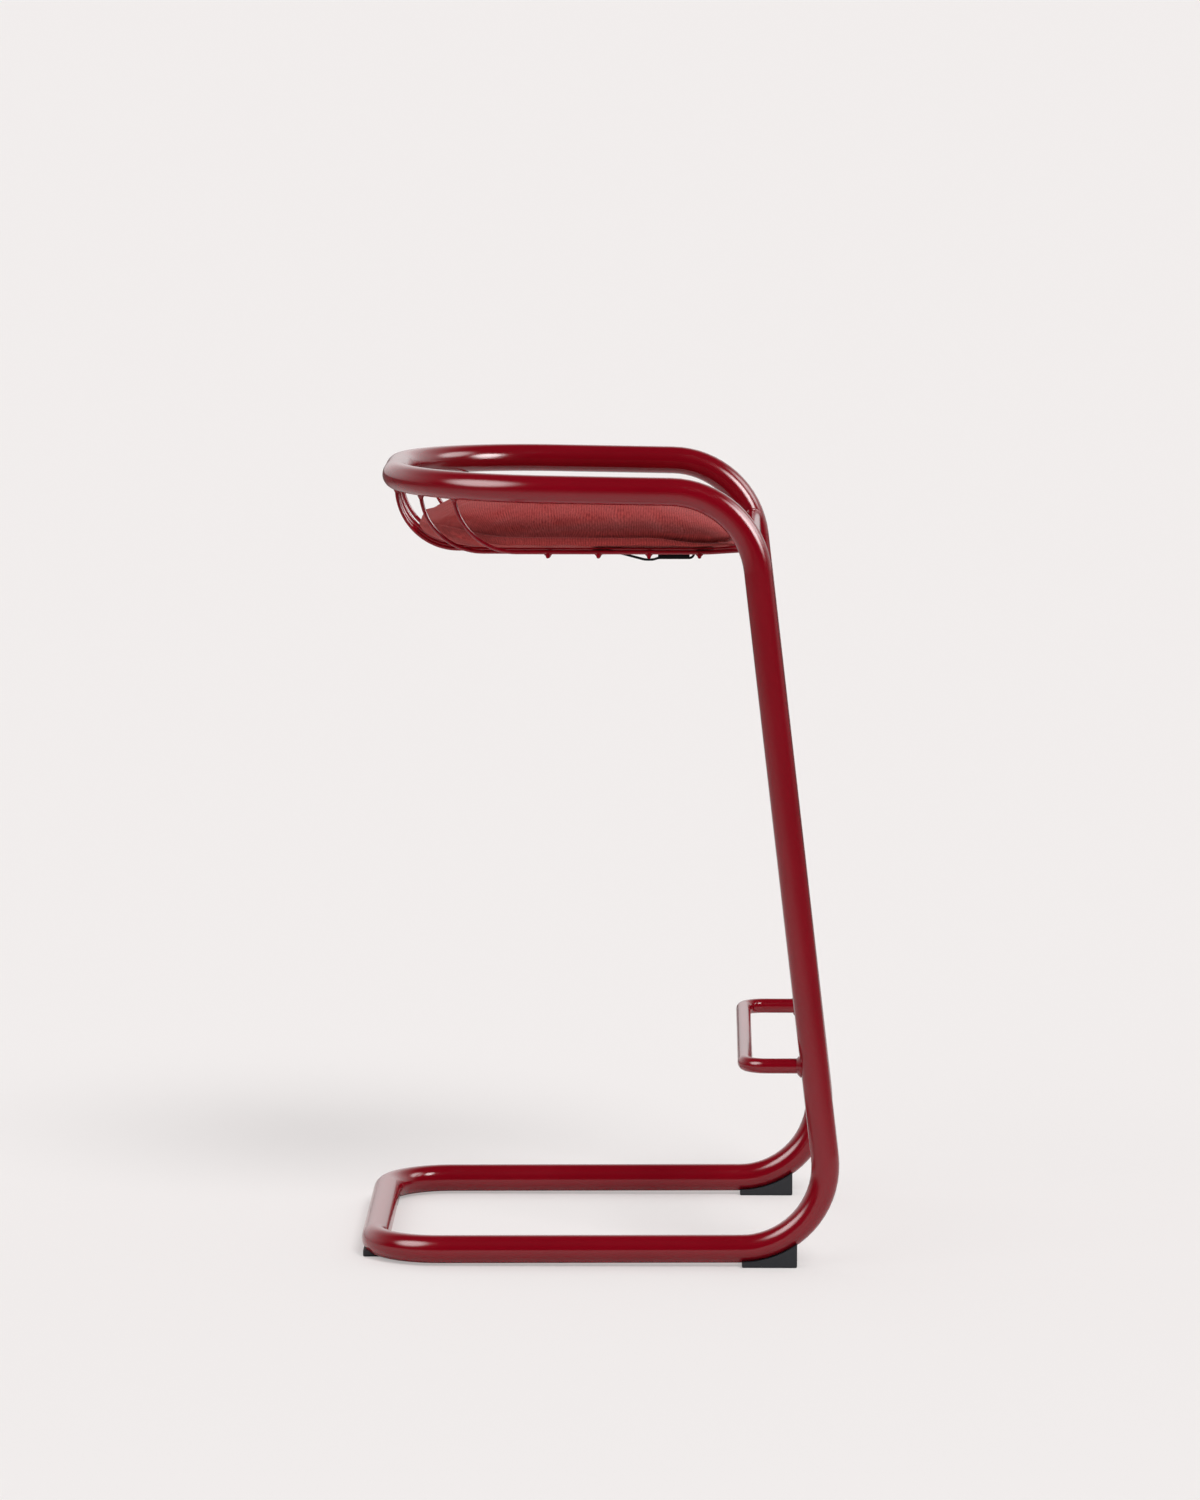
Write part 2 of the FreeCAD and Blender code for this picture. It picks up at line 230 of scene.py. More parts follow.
@dataclass(frozen=True)
class RibbedWeave:
    """Woven outdoor cloth of dyed yarn, whose ribs run across the seat and so stand upright at its sides."""

    name: str = "ribbed_outdoor_cloth"
    shade: str = "#691617"
    light: str = "#BE4643"
    rib: float = 2.6 * MM      # the real rib is about 1.5 mm, too fine to show
    yarn: float = 1.9 * MM     # likewise, about 1 mm
    rib_wander: float = 0.9
    rib_detail: float = 2.0
    rib_detail_scale: float = 0.5
    yarn_wander: float = 0.8
    yarn_detail: float = 1.0
    crossing_share: float = 0.5
    melange: float = 7 * MM
    fleck_stretch: tuple[float, float, float] = (6.0, 1.0, 1.0)   # draws the flecks out along a rib
    fleck_range: tuple[float, float] = (0.3, 0.7)
    fleck_share: float = 0.55
    fleck_detail: float = 3.0
    relief: float = 0.3 * MM
    relief_strength: float = 0.5
    roughness: float = 0.88
    ior: float = 1.45
    specular: float = 0.25
    sheen: float = 0.25
    sheen_roughness: float = 0.5
    sheen_tint: str = "#D98A88"
    map_name: str = "cloth"

    def material(self) -> Material:
        """Makes the material: ribs crossed by yarns, with flecks of lighter yarn along each rib.

        Returns:
            The material.
        """
        material, tree, surface = new_material(self.name)
        place = add_node(tree, "ShaderNodeUVMap", uv_map=self.map_name).outputs["UV"]
        ribs = add_node(tree, "ShaderNodeTexWave", {
            "Vector": place, "Scale": band_scale(self.rib), "Distortion": self.rib_wander,
            "Detail": self.rib_detail, "Detail Scale": self.rib_detail_scale},
            wave_type="BANDS", bands_direction="X")
        yarns = add_node(tree, "ShaderNodeTexWave", {
            "Vector": place, "Scale": band_scale(self.yarn), "Distortion": self.yarn_wander,
            "Detail": self.yarn_detail}, wave_type="BANDS", bands_direction="Y")
        along = add_node(tree, "ShaderNodeMapping", {"Vector": place, "Scale": self.fleck_stretch})
        flecks = add_node(tree, "ShaderNodeTexNoise", {
            "Vector": along.outputs[0], "Scale": 1 / self.melange, "Detail": self.fleck_detail})
        melange = add_node(tree, "ShaderNodeMapRange", {
            "Value": flecks.outputs["Fac"], "From Min": self.fleck_range[0], "From Max": self.fleck_range[1]})
        crossing = add_node(tree, "ShaderNodeMath", {
            0: ribs.outputs["Fac"], 1: yarns.outputs["Fac"]}, operation="MULTIPLY")
        weave = add_node(tree, "ShaderNodeMix", {
            0: self.crossing_share, 2: ribs.outputs["Fac"], 3: crossing.outputs[0]}, data_type="FLOAT")
        tone = add_node(tree, "ShaderNodeMix", {
            0: self.fleck_share, 2: weave.outputs[0], 3: melange.outputs[0]}, data_type="FLOAT")
        colour = add_node(tree, "ShaderNodeMix", {
            0: tone.outputs[0], 6: linear(self.shade), 7: linear(self.light)}, data_type="RGBA")
        bump = add_node(tree, "ShaderNodeBump", {
            "Height": weave.outputs[0], "Strength": self.relief_strength, "Distance": self.relief})
        cloth = add_node(tree, "ShaderNodeBsdfPrincipled", {
            "Base Color": colour.outputs[2], "Roughness": self.roughness, "IOR": self.ior,
            "Specular IOR Level": self.specular, "Sheen Weight": self.sheen,
            "Sheen Roughness": self.sheen_roughness, "Sheen Tint": linear(self.sheen_tint),
            "Normal": bump.outputs["Normal"]})
        tree.links.new(cloth.outputs[0], surface)
        return material


@dataclass(frozen=True)
class Webbing:
    """Black woven strap webbing, matt, with ribs across it."""

    name: str = "woven_black_webbing"
    dark: str = "#050506"
    pale: str = "#151517"
    rib: float = 1.4 * MM
    relief: float = 0.3 * MM
    relief_strength: float = 0.4
    roughness: float = 0.75
    specular: float = 0.2

    def material(self) -> Material:
        """Makes the material: ribs across the strap, crossed by its long yarns.

        Returns:
            The material.
        """
        material, tree, surface = new_material(self.name)
        place = add_node(tree, "ShaderNodeTexCoord").outputs["Object"]
        ribs, yarns = [add_node(tree, "ShaderNodeTexWave", {"Vector": place, "Scale": band_scale(self.rib)},
                                wave_type="BANDS", bands_direction=axis) for axis in "XY"]
        weave = add_node(tree, "ShaderNodeMath", {
            0: ribs.outputs["Fac"], 1: yarns.outputs["Fac"]}, operation="MULTIPLY")
        colour = add_node(tree, "ShaderNodeMix", {
            0: weave.outputs[0], 6: linear(self.dark), 7: linear(self.pale)}, data_type="RGBA")
        bump = add_node(tree, "ShaderNodeBump", {
            "Height": weave.outputs[0], "Strength": self.relief_strength, "Distance": self.relief})
        cloth = add_node(tree, "ShaderNodeBsdfPrincipled", {
            "Base Color": colour.outputs[2], "Roughness": self.roughness, "Specular IOR Level": self.specular,
            "Normal": bump.outputs["Normal"]})
        tree.links.new(cloth.outputs[0], surface)
        return material


def add_piece(name: str, mesh: BMesh, material: Material,
              smooth_angle: float = math.radians(40)) -> Object:
    """Turns a finished bmesh into a piece of the stool.

    Args:
        name: Name of the piece.
        mesh: Its shape, in place; it is freed.
        material: Its finish.
        smooth_angle: Edges that turn by less than this are shaded smooth.

    Returns:
        The piece, which rides on the stool.
    """
    data = bpy.data.meshes.new(name)
    mesh.to_mesh(data)
    mesh.free()
    data.materials.append(material)
    data.shade_smooth()
    data.set_sharp_from_angle(angle=smooth_angle)
    piece = bpy.data.objects.new(name, data)
    bpy.context.scene.collection.objects.link(piece)
    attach(piece, BODY)
    return piece


def dress(node: str, material: Material) -> Object:
    """Gives a node of the frame its finish.

    Args:
        node: Name of the node.
        material: Its finish.

    Returns:
        The node's object.
    """
    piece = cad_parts[node]
    piece.data.materials.clear()
    piece.data.materials.append(material)
    return piece


def apply_modifiers(piece: Object) -> None:
    """Applies every modifier of a piece to its mesh.

    Args:
        piece: Piece whose mesh is replaced.
    """
    graph = bpy.context.evaluated_depsgraph_get()
    data = bpy.data.meshes.new_from_object(piece.evaluated_get(graph), depsgraph=graph)
    old = piece.data
    piece.modifiers.clear()
    piece.data = data
    bpy.data.meshes.remove(old)


def extrude(mesh: BMesh, edges: list) -> tuple[list, list]:
    """Extrudes edges in place.

    Args:
        mesh: Mesh that they are in.
        edges: The edges.

    Returns:
        The new vertices, and the new edges between them.
    """
    grown = bmesh.ops.extrude_edge_only(mesh, edges=edges)["geom"]
    verts = [item for item in grown if isinstance(item, BMVert)]
    ends = set(verts)
    return verts, [item for item in grown if isinstance(item, BMEdge) and set(item.verts) <= ends]


def lay_cloth(data: Mesh, rounds: int = 0) -> None:
    """Maps flat cloth onto a pad: the panel on top is folded down, straight, over each side.

    Args:
        data: Mesh that gets the map, in metres of cloth.
        rounds: How often the shape is smoothed first, to find evenly which way each side faces.
    """
    even = bmesh.new()
    even.from_mesh(data)
    for _ in range(rounds):
        bmesh.ops.smooth_vert(even, verts=even.verts, factor=SMOOTHING, use_axis_x=True,
                              use_axis_y=True, use_axis_z=True)
    even.normal_update()
    top = max(vert.co.z for vert in data.vertices)
    flat = [vert.co.xy + facing.normal.xy.normalized() * ease(facing.normal.xy.length) * (top - vert.co.z)
            for vert, facing in zip(data.vertices, even.verts)]
    even.free()
    layer = data.uv_layers.new(name=RibbedWeave.map_name)
    layer.data.foreach_set("uv", [value for loop in data.loops for value in flat[loop.vertex_index]])


def surface_of(node: str) -> BVHTree:
    """Makes a node's surface ready to be probed with rays."""
    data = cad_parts[node].data
    places = [vert.co for vert in data.vertices]
    return BVHTree.FromPolygons(places, [face.vertices for face in data.polygons])


def ease(share: float) -> float:
    """Smooth step of a share that is held between 0 and 1."""
    held = min(1.0, max(0.0, share))
    return held * held * (3 - 2 * held)


@dataclass
class TubeFrame:
    """Bent tubes, footrest and their inner sleeves."""

    painted: tuple[str, ...] = ("frame_tube_right", "frame_tube_left", "footrest_tube", "front_seat_bar",
                                "footrest_weld_right", "footrest_weld_left")
    bare: tuple[str, ...] = ("base_sleeve", "back_rail_sleeve")

    def build(self, paint: Material, steel: Material) -> list[Object]:
        """Dresses the tubes.

        Args:
            paint: Finish of what shows.
            steel: Finish of the sleeves inside.

        Returns:
            The dressed nodes.
        """
        return [dress(node, paint) for node in self.painted] + [dress(node, steel) for node in self.bare]


@dataclass
class WireSeat:
    """Wires of the seat, and the welds that hold them."""

    per_side: int = 4
    crossing_count: int = 4
    wire_d: float = 4 * MM
    spot_length: float = 4.4 * MM      # half length along the upper wire
    spot_width: float = 2.3 * MM       # likewise half, as is the depth
    spot_depth: float = 3.4 * MM
    spot_segments: int = 16
    spot_rings: int = 10
    spot_narrowing: float = 0.55       # share of its length that a nugget loses towards its foot
    narrow_from: float = 0.4           # of its half height, above its middle
    collar_rise: float = 3.5 * MM
    collar_spread: float = 1.6 * MM
    collar_points: int = 20
    bar_d: float = 15 * MM
    bead: float = 1.5 * MM
    bead_points: int = 10
    bead_steps: int = 36
    tack: tuple[float, float, float] = (2.4 * MM, 3.2 * MM, 2.8 * MM)   # half sizes
    tack_segments: int = 14
    tack_rings: int = 9

    def build(self, paint: Material) -> list[Object]:
        """Dresses the wires and adds their welds.

        Args:
            paint: Finish of wires and welds.

        Returns:
            The dressed nodes and the new welds.
        """
        long_wires = ["seat_wire_%s_%d" % (side, number) for side in SIDES
                      for number in range(1, self.per_side + 1)]
        cross_wires = ["cross_wire_%d" % number for number in range(1, self.crossing_count + 1)]
        dressed = [dress(node, paint) for node in long_wires + cross_wires]
        return dressed + [self.spot_welds(long_wires, cross_wires, paint), self.rail_welds(long_wires, paint),
                          self.bar_welds(long_wires, paint)]

    def spot_welds(self, long_wires: list[str], cross_wires: list[str], paint: Material) -> Object:
        """Makes the nugget at each crossing, which narrows downwards round the cross wire.

        Args:
            long_wires: Wires from back to front.
            cross_wires: Wires below them.
            paint: Finish of the welds.

        Returns:
            One piece with all the nuggets.
        """
        mesh = bmesh.new()
        for wire in long_wires:
            low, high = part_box(wire)
            for crossing in cross_wires:
                cross_low, cross_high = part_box(crossing)
                centre = Vector(((cross_low.x + cross_high.x) / 2, (low.y + high.y) / 2, low.z))
                ball = bmesh.ops.create_uvsphere(mesh, u_segments=self.spot_segments,
                                                 v_segments=self.spot_rings, radius=1.0)
                for vert in ball["verts"]:
                    below = ease((self.narrow_from - vert.co.z) / (self.narrow_from + 1))
                    vert.co.x *= self.spot_length * (1 - self.spot_narrowing * below)
                    vert.co.y *= self.spot_width
                    vert.co.z *= self.spot_depth
                bmesh.ops.translate(mesh, verts=ball["verts"], vec=centre)
        return add_piece("wire_spot_welds", mesh, paint)

    def rail_welds(self, long_wires: list[str], paint: Material) -> Object:
        """Makes the flared weld where each wire meets the underside of the back rail.

        Args:
            long_wires: Wires from back to front.
            paint: Finish of the welds.

        Returns:
            One piece with all the welds.
        """
        mesh = bmesh.new()
        for wire in long_wires:
            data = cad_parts[wire].data
            top = max(data.vertices, key=lambda vert: vert.co.z).co
            ring = [vert.co for vert in data.vertices if vert.co.z > top.z - self.wire_d / 2]
            middle = sum(ring, Vector()) / len(ring)
            collar = bmesh.ops.create_cone(
                mesh, cap_ends=True, segments=self.collar_points, radius1=self.wire_d / 2,
                radius2=self.wire_d / 2 + self.collar_spread, depth=self.collar_rise)
            bmesh.ops.translate(mesh, verts=collar["verts"],
                                vec=Vector((middle.x, middle.y, top.z - self.collar_rise / 2)))
        return add_piece("rail_wire_welds", mesh, paint)

    def bar_welds(self, long_wires: list[str], paint: Material) -> Object:
        """Makes the beads at the ends of the front bar and the tack where each wire meets it.

        Args:
            long_wires: Wires from back to front.
            paint: Finish of the welds.

        Returns:
            One piece with all the welds.
        """
        mesh = bmesh.new()
        low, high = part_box("front_seat_bar")
        end = Vector(((low.x + high.x) / 2, 0, high.z - self.bar_d / 2))
        for side, sign in SIDES.items():
            upright = surface_of("frame_tube_" + side)
            before = set(mesh.verts)
            beside = Matrix.Translation((self.bar_d / 2, 0, 0))
            section = bmesh.ops.create_circle(mesh, segments=self.bead_points, radius=self.bead,
                                              matrix=beside)["verts"]
            edges = list({edge for vert in section for edge in vert.link_edges})
            bmesh.ops.spin(mesh, geom=section + edges, cent=Vector(), axis=Vector((0, 1, 0)),
                           angle=2 * math.pi, steps=self.bead_steps, use_merge=True)
            for vert in set(mesh.verts) - before:
                place = Vector((end.x + vert.co.x, 0, end.z + vert.co.z))
                vert.co = upright.ray_cast(place, Vector((0, sign, 0)))[0] + Vector((0, vert.co.y, 0))
        for wire in long_wires:
            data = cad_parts[wire].data
            front = max(vert.co.x for vert in data.vertices)
            ring = [vert.co for vert in data.vertices if vert.co.x > front - self.wire_d / 2]
            place = Matrix.Translation(sum(ring, Vector()) / len(ring))
            bmesh.ops.create_uvsphere(mesh, u_segments=self.tack_segments, v_segments=self.tack_rings,
                                      radius=1.0, matrix=place @ Matrix.Diagonal((*self.tack, 1)))
        bmesh.ops.recalc_face_normals(mesh, faces=mesh.faces)
        return add_piece("front_bar_welds", mesh, paint)


@dataclass
class Glides:
    """Plastic glides under the base."""

    nodes: tuple[str, ...] = ("front_glide_right", "front_glide_left", "rear_glide_right", "rear_glide_left")

    def build(self, plastic: Material) -> list[Object]:
        """Dresses the glides.

        Args:
            plastic: Their finish.

        Returns:
            The dressed nodes.
        """
        return [dress(node, plastic) for node in self.nodes]


@dataclass(frozen=True)
class Crease:
    """Soft fold along the pad's sides: a ridge with a hollow under it, which fades out at both ends."""

    rear: float            # place of its end along the seat
    front: float
    rear_rise: float       # of the ridge above the seam
    front_rise: float
    depth: float
    width: float
    hollow_drop: float = 1.8   # widths from the ridge down to the hollow
    fade: float = 0.25         # share of the length over which each end fades

    def stand_out(self, x: float, above: float) -> float:
        """Finds how far the cloth stands out.

        Args:
            x: Place along the seat.
            above: Height above the seam.

        Returns:
            The distance outwards.
        """
        share = (x - self.rear) / (self.front - self.rear)
        off = (above - self.rear_rise - (self.front_rise - self.rear_rise) * share) / self.width
        ends = ease(share / self.fade) * ease((1 - share) / self.fade)
        return self.depth * ends * (math.exp(-off ** 2) - math.exp(-(off + self.hollow_drop) ** 2))


@dataclass
class SeatPad:
    """Crowned seat pad: a swollen cushion, the hem sewn round it and the hem's stitches."""

    merge: float = 0.02 * MM           # distance within which the filling's loose corners are joined
    voxel: float = 5 * MM
    pressure: float = 4.0
    spare_cloth: float = -0.012
    swell_limit: float = 6 * MM
    held_height: float = 10 * MM       # above the seam, over which the cover comes free
    frames: int = 20
    map_rounds: int = 40
    hem_low: float = 718.2 * MM
    hem_band: float = 7.4 * MM
    hem_front_band: float = 2.0 * MM   # the hem narrows at the front corners
    hem_narrow_from: float = 45 * MM
    hem_narrow_to: float = 110 * MM
    hem_rear_rise: float = 7.5 * MM
    hem_rise_from: float = -95 * MM
    hem_rise_to: float = -165 * MM
    hem_cloth: float = 1.3 * MM
    flange: float = 16 * MM            # of the hem, which lies in under the cushion
    hem_wave: float = 0.35 * MM
    hem_waves: tuple[int, ...] = (13, 23, 31)
    hem_points: int = 360
    hem_rows: int = 4                  # up the band, below the flange
    outline_turns: tuple[float, ...] = tuple(math.radians(step) for step in (-2, -1, 0, 1, 2))
    outline_tries: int = 3
    seam_depth: float = 4.5 * MM
    seam_rear_depth: float = 1.2 * MM
    seam_front_depth: float = 4.0 * MM   # added at the front corners
    seam_front_run: float = 40 * MM
    seam_width: float = 4.6 * MM
    bulge: float = 4.0 * MM            # of the sides towards the front
    lean: float = 16.0 * MM            # of the sides at the back, inwards
    lean_from: float = 55 * MM
    lean_to: float = -90 * MM
    rear_lift: float = 6.0 * MM
    rear_lift_from: float = -105 * MM
    rear_lift_to: float = -165 * MM
    pucker_depth: float = 0.22 * MM
    pucker_height: float = 14 * MM
    pucker_waves: tuple[int, ...] = (43, 67, 101)
    creases: tuple[Crease, ...] = (
        Crease(-150 * MM, 70 * MM, 4 * MM, 34 * MM, 6.0 * MM, 5.0 * MM),
        Crease(-165 * MM, -85 * MM, 17 * MM, 13 * MM, 2.6 * MM, 3.2 * MM),
        Crease(-85 * MM, 0 * MM, 5 * MM, 10 * MM, 1.8 * MM, 3.2 * MM))
    stitch_pitch: float = 4.0 * MM
    stitch_length: float = 2.8 * MM
    stitch_thread: float = 0.5 * MM
    stitch_share: float = 0.74         # of the band's height

    def build(self, cloth: Material) -> list[Object]:
        """Makes the cushion, its hem and the hem's stitches.

        Args:
            cloth: Finish of the cover.

        Returns:
            The new pieces.
        """
        cover = surface_of("pad_cover")
        return [self.cushion(cloth), self.hem(cover, cloth), self.stitches(cover, cloth)]

    def hem_foot(self, x: float) -> float:
        """Height of the hem's lower edge at a place along the seat, higher over the wires at the back."""
        return self.hem_low + self.hem_rear_rise * ease((self.hem_rise_from - x) /
                                                        (self.hem_rise_from - self.hem_rise_to))

    def seam_height(self, x: float) -> float:
        """Height of the seam above the hem at a place along the seat."""
        narrowing = ease((x - self.hem_narrow_from) / (self.hem_narrow_to - self.hem_narrow_from))
        return self.hem_foot(x) + self.hem_band + (self.hem_front_band - self.hem_band) * narrowing

    def hem_place(self, cover: BVHTree, angle: float, share: float) -> Vector:
        """Finds a place on the outside of the hem, which dips and rises a little.

        Args:
            cover: Surface of the plain pad.
            angle: Direction from the middle of the seat.
            share: Height on the band, from 0 to 1, or more for the flange sewn in under the cushion.

        Returns:
            The place.
        """
        edge = Vector()
        for turn in self.outline_turns:
            out = Vector((math.cos(angle + turn), math.sin(angle + turn), 0))
            height = self.hem_low
            for _ in range(self.outline_tries):
                hit = cover.ray_cast(out + Vector((0, 0, height + self.hem_band / 2)), -out)[0]
                height = self.hem_foot(hit.x)
            edge += hit / len(self.outline_turns)
        height = self.hem_foot(edge.x)
        dip = self.hem_wave * sum(math.sin(waves * angle + waves) for waves in self.hem_waves)
        tuck = self.hem_cloth * (2 * share - 1) ** 2 if share <= 1 else self.flange
        up = min(share, 1.0)
        place = Vector((edge.x, edge.y, height + (self.seam_height(edge.x) - height) * up + dip * (1 - up)))
        return place - Vector((math.cos(angle), math.sin(angle), 0)) * tuck

    def cushion(self, cloth: Material) -> Object:
        """Swells the filling's shape into the cushion and draws in its seam above the hem.

        Args:
            cloth: Finish of the cover.

        Returns:
            The cushion, in place of the plain solids.
        """
        mesh = bmesh.new()
        mesh.from_mesh(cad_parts["pad_filling"].data)
        bmesh.ops.remove_doubles(mesh, verts=mesh.verts, dist=self.merge)
        piece = add_piece("seat_cushion", mesh, cloth, math.pi)
        remesh = piece.modifiers.new("even_mesh", "REMESH")
        remesh.mode = "VOXEL"
        remesh.voxel_size = self.voxel
        apply_modifiers(piece)
        self.swell(piece)
        finer = piece.modifiers.new("finer", "SUBSURF")
        finer.levels = finer.render_levels = 1
        apply_modifiers(piece)
        self.shape_sides(piece.data)
        lay_cloth(piece.data, self.map_rounds)
        piece.data.shade_smooth()
        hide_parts("pad_cover", "pad_filling")
        return piece

    def shape_sides(self, data: Mesh) -> None:
        """Draws the cover in above the hem, and bulges, leans, creases and puckers its sides.

        Args:
            data: Mesh of the cushion, changed in place.
        """
        places = [vert.co.copy() for vert in data.vertices]
        normals = [vert.normal.copy() for vert in data.vertices]
        top = max(place.z for place in places)
        for place, normal in zip(places, normals):
            seam = self.seam_height(place.x)
            above = place.z - seam
            share = min(1.0, max(0.0, above / (top - seam)))
            out = Vector((normal.x, normal.y, 0))
            full = ease((place.x - self.lean_to) / (self.lean_from - self.lean_to))
            depth = self.seam_rear_depth + (self.seam_depth - self.seam_rear_depth) * full + \
                self.seam_front_depth * ease((place.x - self.hem_narrow_from) / self.seam_front_run)
            leaning = self.lean * (1 - full) * share * abs(normal.y)
            side = self.bulge * full * math.sin(math.pi * share) - leaning
            round_seat = math.atan2(place.y, place.x)
            pucker = sum(math.sin(waves * round_seat + waves) for waves in self.pucker_waves)
            fade = ease((self.pucker_height - above) / self.pucker_height) if above > 0 else 0.0
            drawn = depth * math.exp(-(above / self.seam_width) ** 2)
            lift = self.rear_lift * ease(share) * ease((self.rear_lift_from - place.x) /
                                                       (self.rear_lift_from - self.rear_lift_to))
            crease = sum(fold.stand_out(place.x, above) for fold in self.creases) * abs(normal.y)
            place += out * (side + crease + self.pucker_depth * pucker * fade - drawn) + Vector((0, 0, lift))
        data.vertices.foreach_set("co", [value for place in places for value in place])
        data.update()

    def swell(self, piece: Object) -> None:
        """Blows the cushion up as cloth whose hem and underside are held.

        Args:
            piece: Evenly meshed cushion, changed in place.
        """
        held = piece.vertex_groups.new(name="held")
        for vert in piece.data.vertices:
            above = vert.co.z - self.seam_height(vert.co.x)
            held.add([vert.index], 1 - ease(above / self.held_height), "REPLACE")
        rest = [vert.co.copy() for vert in piece.data.vertices]
        cloth = piece.modifiers.new("swell", "CLOTH")
        cloth.settings.vertex_group_mass = held.name
        cloth.settings.use_pressure = True
        cloth.settings.uniform_pressure_force = self.pressure
        cloth.settings.shrink_min = self.spare_cloth
        cloth.settings.effector_weights.gravity = 0.0
        cloth.point_cache.frame_start = 1
        cloth.point_cache.frame_end = self.frames
        scene = bpy.context.scene
        for number in range(1, self.frames + 1):
            scene.frame_set(number)
        apply_modifiers(piece)
        scene.frame_set(1)
        places = []
        for vert, start in zip(piece.data.vertices, rest):
            step = vert.co - start
            places.extend(start + step * (self.swell_limit / max(step.length, self.swell_limit)))
        piece.data.vertices.foreach_set("co", places)
        piece.data.update()

    def hem(self, cover: BVHTree, cloth: Material) -> Object:
        """Makes the sewn band round the foot of the cushion.

        Args:
            cover: Surface of the plain pad.
            cloth: Finish of the band.

        Returns:
            The band.
        """
        mesh = bmesh.new()
        bmesh.ops.create_circle(mesh, segments=self.hem_points, radius=1.0)
        rows = [mesh.verts[:]]
        last = mesh.edges[:]
        for _ in range(self.hem_rows + 1):
            row, last = extrude(mesh, last)
            rows.append(row)
        for level, row in enumerate(rows):
            for vert in row:
                vert.co = self.hem_place(cover, math.atan2(vert.co.y, vert.co.x), level / self.hem_rows)
        bmesh.ops.recalc_face_normals(mesh, faces=mesh.faces)
        bmesh.ops.solidify(mesh, geom=mesh.faces[:], thickness=self.hem_cloth)
        bmesh.ops.recalc_face_normals(mesh, faces=mesh.faces)
        band = add_piece("pad_hem", mesh, cloth)
        lay_cloth(band.data)
        return band

    def stitches(self, cover: BVHTree, cloth: Material) -> Object:
        """Makes the row of thread stitches along the hem.

        Args:
            cover: Surface of the plain pad.
            cloth: Finish of the thread.

        Returns:
            One piece with all the stitches.
        """
        turns = [2 * math.pi * number / self.hem_points for number in range(self.hem_points + 1)]
        line = [self.hem_place(cover, angle, self.stitch_share) for angle in turns]
        half_thread = self.stitch_thread / 2
        size = Matrix.Diagonal((self.stitch_length / 2, half_thread, half_thread, 1))
        mesh = bmesh.new()
        to_next = 0.0
        for start, end in zip(line, line[1:]):
            step = end - start
            along = step.normalized()
            out = Vector((along.y, -along.x, 0)).normalized()
            turn = Matrix((along, out, along.cross(out))).transposed().to_4x4()
            while to_next < step.length:
                place = Matrix.Translation(start + along * to_next)
                bmesh.ops.create_icosphere(mesh, subdivisions=1, radius=1.0, matrix=place @ turn @ size)
                to_next += self.stitch_pitch
            to_next -= step.length
        bmesh.ops.recalc_face_normals(mesh, faces=mesh.faces)
        thread = add_piece("hem_stitches", mesh, cloth)
        lay_cloth(thread.data)
        return thread


